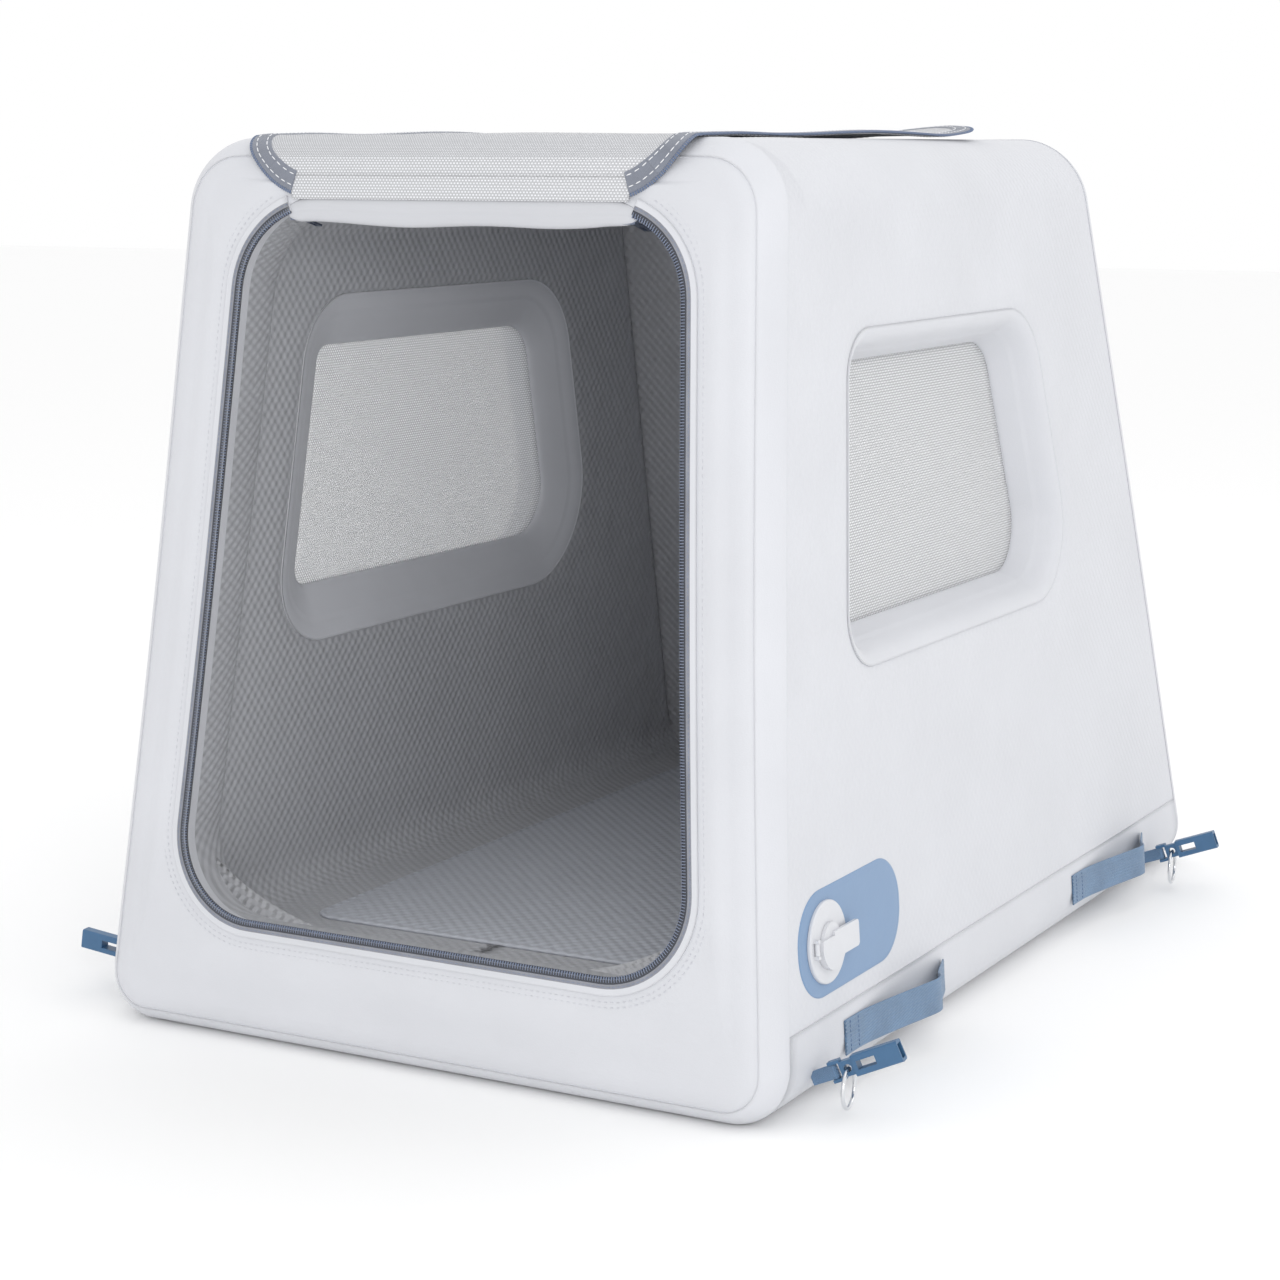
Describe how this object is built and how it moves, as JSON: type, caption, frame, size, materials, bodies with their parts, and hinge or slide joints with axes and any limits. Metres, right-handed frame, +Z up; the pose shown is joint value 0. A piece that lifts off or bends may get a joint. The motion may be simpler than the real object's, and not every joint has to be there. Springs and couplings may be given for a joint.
{
  "type": "inflatable dog kennel",
  "caption": "Inflatable frustum-shaped travel kennel with a zipped mesh door folded back over the roof, mesh side windows, an air valve, webbing loops and clips.",
  "frame": {"origin": "middle of the underside, on the floor", "axes": "+Z up, doorway towards -Y, air valve on the +X side"},
  "size_m": [0.7434, 0.932, 0.7036],
  "materials": {
    "quilted_fabric": "coated drop-stitch fabric, matte",
    "smooth_fabric": "smooth coated fabric, satin",
    "tray_fabric": "smooth coated fabric, satin",
    "mat_fabric": "woven mat",
    "mesh_fabric": "open mesh",
    "binding_fabric": "woven tape with two rows of stitching",
    "zip_plastic": "moulded coil",
    "zip_metal": "painted",
    "patch_fabric": "welded patch, satin",
    "valve_plastic": "moulded, soft gloss",
    "valve_rubber": "moulded",
    "steel": "plain",
    "webbing": "woven webbing",
    "clip_plastic": "moulded",
    "ring_metal": "polished"
  },
  "bodies": {
    "root": {"front_frame": "smooth_fabric", "rear_wall": "quilted_fabric", "floor_panel": "quilted_fabric", "roof_panel": "quilted_fabric", "left_wall": "quilted_fabric", "right_wall": "quilted_fabric", "front_edge_band": "smooth_fabric", "rear_edge_band": "smooth_fabric", "base_tray": "tray_fabric", "floor_mat": "mat_fabric", "window_collar_right": "smooth_fabric", "window_collar_left": "smooth_fabric", "window_mesh_right": "mesh_fabric", "window_mesh_left": "mesh_fabric", "doorway_zip_tape": "binding_fabric", "doorway_zip_coil": "zip_plastic", "door_header": "smooth_fabric", "zip_slider_left": "zip_metal", "zip_slider_right": "zip_metal", "valve_patch": "patch_fabric", "valve_flange": "valve_plastic", "valve_tube": "valve_plastic", "valve_spider": "valve_plastic", "valve_spring": "steel", "valve_cap_pin": "steel", "webbing_front_right": "webbing", "webbing_front_left": "webbing", "webbing_rear_right": "webbing", "webbing_rear_left": "webbing", "clip_tab_front_right": "webbing", "clip_tab_front_left": "webbing", "clip_tab_rear_right": "webbing", "clip_tab_rear_left": "webbing"},
    "door_upper": {"door_mesh_upper": "mesh_fabric", "door_binding_upper": "binding_fabric", "door_coil_upper": "zip_plastic"},
    "door_lower": {"door_mesh_lower": "mesh_fabric", "door_binding_lower": "binding_fabric", "door_coil_lower": "zip_plastic"},
    "valve_cap": {"valve_cap": "valve_plastic"},
    "valve_stem": {"valve_stem": "valve_plastic", "valve_seal": "valve_rubber"},
    "zip_pull_left": {"zip_pull_left": "zip_metal"},
    "zip_pull_right": {"zip_pull_right": "zip_metal"},
    "clip_front_right": {"clip_front_right": "clip_plastic"},
    "ring_front_right": {"ring_front_right": "ring_metal"},
    "clip_front_left": {"clip_front_left": "clip_plastic"},
    "ring_front_left": {"ring_front_left": "ring_metal"},
    "clip_rear_right": {"clip_rear_right": "clip_plastic"},
    "ring_rear_right": {"ring_rear_right": "ring_metal"},
    "clip_rear_left": {"clip_rear_left": "clip_plastic"},
    "ring_rear_left": {"ring_rear_left": "ring_metal"}
  },
  "joints": [
    {"name": "door_hinge", "type": "hinge", "parent": "root", "child": "door_upper", "pos_m": [0, -0.39983, 0.65434], "axis": [1, 0, 0], "range_deg": [0, 180]},
    {"name": "door_fold", "type": "hinge", "parent": "door_upper", "child": "door_lower", "pos_m": [0, -0.39413, 0.7024], "axis": [1, 0, 0], "range_deg": [0, 83.24]},
    {"name": "valve_cap_hinge", "type": "hinge", "parent": "root", "child": "valve_cap", "pos_m": [0.30213, -0.399, 0.12239], "axis": [0.0691, 0, -0.9976], "range_deg": [0, 110]},
    {"name": "valve_push", "type": "slide", "parent": "root", "child": "valve_stem", "axis": [-0.9976, 0, -0.0691], "range_m": [0, 0.004], "stiffness_N_per_m": 150, "springref_m": -0.004, "deforming": ["valve_spring"]},
    {"name": "zip_pull_left_swing", "type": "hinge", "parent": "root", "child": "zip_pull_left", "pos_m": [-0.1455, -0.39055, 0.64007], "axis": [1, 0, 0], "range_deg": [-78, 4]},
    {"name": "zip_pull_right_swing", "type": "hinge", "parent": "root", "child": "zip_pull_right", "pos_m": [0.1455, -0.39055, 0.64007], "axis": [1, 0, 0], "range_deg": [-78, 4]},
    {"name": "clip_front_right_swing", "type": "hinge", "parent": "root", "child": "clip_front_right", "pos_m": [0.31764, -0.4, 0.034], "axis": [-0.4028, -0.0566, 0.9135], "range_deg": [-35, 35]},
    {"name": "ring_front_right_swing", "type": "hinge", "parent": "clip_front_right", "child": "ring_front_right", "pos_m": [0.32805, -0.39854, 0.03788], "axis": [-0.1392, 0.9903, 0], "range_deg": [-45, 25]},
    {"name": "clip_front_left_swing", "type": "hinge", "parent": "root", "child": "clip_front_left", "pos_m": [-0.31764, -0.4, 0.034], "axis": [-0.1384, -0.0145, -0.9903], "range_deg": [-35, 35]},
    {"name": "ring_front_left_swing", "type": "hinge", "parent": "clip_front_left", "child": "ring_front_left", "pos_m": [-0.32897, -0.40119, 0.0348], "axis": [0.1045, -0.9945, 0], "range_deg": [-45, 25]},
    {"name": "clip_rear_right_swing", "type": "hinge", "parent": "root", "child": "clip_rear_right", "pos_m": [0.31764, 0.333, 0.034], "axis": [-0.3387, -0.0476, 0.9397], "range_deg": [-35, 35]},
    {"name": "ring_rear_right_swing", "type": "hinge", "parent": "clip_rear_right", "child": "ring_rear_right", "pos_m": [0.32835, 0.3345, 0.03713], "axis": [-0.1392, 0.9903, 0], "range_deg": [-45, 25]},
    {"name": "clip_rear_left_swing", "type": "hinge", "parent": "root", "child": "clip_rear_left", "pos_m": [-0.31764, 0.333, 0.034], "axis": [-0.2059, 0.0289, -0.9781], "range_deg": [-35, 35]},
    {"name": "ring_rear_left_swing", "type": "hinge", "parent": "clip_rear_left", "child": "ring_rear_left", "pos_m": [-0.32878, 0.33457, 0.03559], "axis": [-0.1392, -0.9903, 0], "range_deg": [-45, 25]}
  ],
  "couplings": [
    {"joint": "door_fold", "follows": "door_hinge", "ratio": 0.46243}
  ]
}
